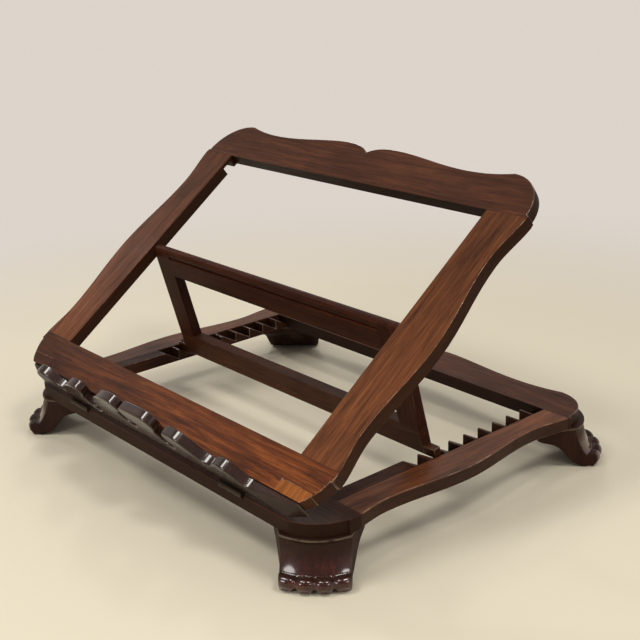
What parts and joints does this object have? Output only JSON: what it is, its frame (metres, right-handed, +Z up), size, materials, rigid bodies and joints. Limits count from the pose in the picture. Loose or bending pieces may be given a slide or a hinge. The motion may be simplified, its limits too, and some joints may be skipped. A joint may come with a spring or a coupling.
{
  "type": "tabletop lectern",
  "caption": "Folding tabletop lectern with shaped open frames, a wave-cut ledge, carved corner feet and a prop strut that stands in toothed racks.",
  "frame": {"origin": "on the floor, under the middle of the whole lectern as it stands open", "axes": "+X runs to the reader's right along the ledge and the hinge, +Y runs from the reader to the back, +Z is up"},
  "size_m": [0.4798, 0.3986, 0.278],
  "materials": {
    "frame_wood": "dark polished hardwood, worn bright along its arrises",
    "stile_wood": "warmer polished hardwood with straight grain",
    "ledge_wood": "dark polished hardwood, sawn edges glossy from handling",
    "corner_wood": "cross-grained orange hardwood insert, polished",
    "strut_wood": "dull hardwood, less polished than the frames",
    "rack_wood": "dark hardwood, tooth tips rubbed",
    "foot_wood": "deep red-brown carved hardwood, glossy in the hollows",
    "hinge_metal": "old dull brass, darkened",
    "pin_metal": "old dull brass"
  },
  "bodies": {
    "base": {"base_front_rail": "frame_wood", "base_back_rail": "frame_wood", "base_side_left": "frame_wood", "base_side_right": "frame_wood", "rack_left": "rack_wood", "rack_right": "rack_wood", "foot_front_left": "foot_wood", "foot_front_right": "foot_wood", "foot_back_left": "foot_wood", "foot_back_right": "foot_wood", "hinge_base_leaf_left": "hinge_metal", "hinge_base_leaf_right": "hinge_metal", "hinge_pin_left": "pin_metal", "hinge_pin_right": "pin_metal", "hinge_base_screws": "hinge_metal"},
    "book_frame": {"book_bottom_rail": "frame_wood", "book_top_rail": "frame_wood", "book_stile_left": "stile_wood", "book_stile_right": "stile_wood", "book_ledge": "ledge_wood", "corner_piece_left": "corner_wood", "corner_piece_right": "corner_wood", "hinge_book_leaf_left": "hinge_metal", "hinge_book_leaf_right": "hinge_metal", "hinge_book_screws": "hinge_metal", "pivot_pin_left": "pin_metal", "pivot_pin_right": "pin_metal"},
    "strut": {"strut_top_rail": "strut_wood", "strut_leg_left": "strut_wood", "strut_leg_right": "strut_wood", "strut_foot_rail": "strut_wood"}
  },
  "joints": [
    {"name": "book_tilt", "type": "hinge", "parent": "base", "child": "book_frame", "pos_m": [0, -0.16979, 0.05175], "axis": [1, 0, 0], "range_deg": [-36.4, 0]},
    {"name": "strut_fold", "type": "hinge", "parent": "book_frame", "child": "strut", "pos_m": [0, -0.03232, 0.16845], "axis": [1, 0, 0], "range_deg": [0, 111.8]}
  ],
  "couplings": [
    {"joint": "strut_fold", "follows": "book_tilt", "ratio": -3.0687}
  ]
}
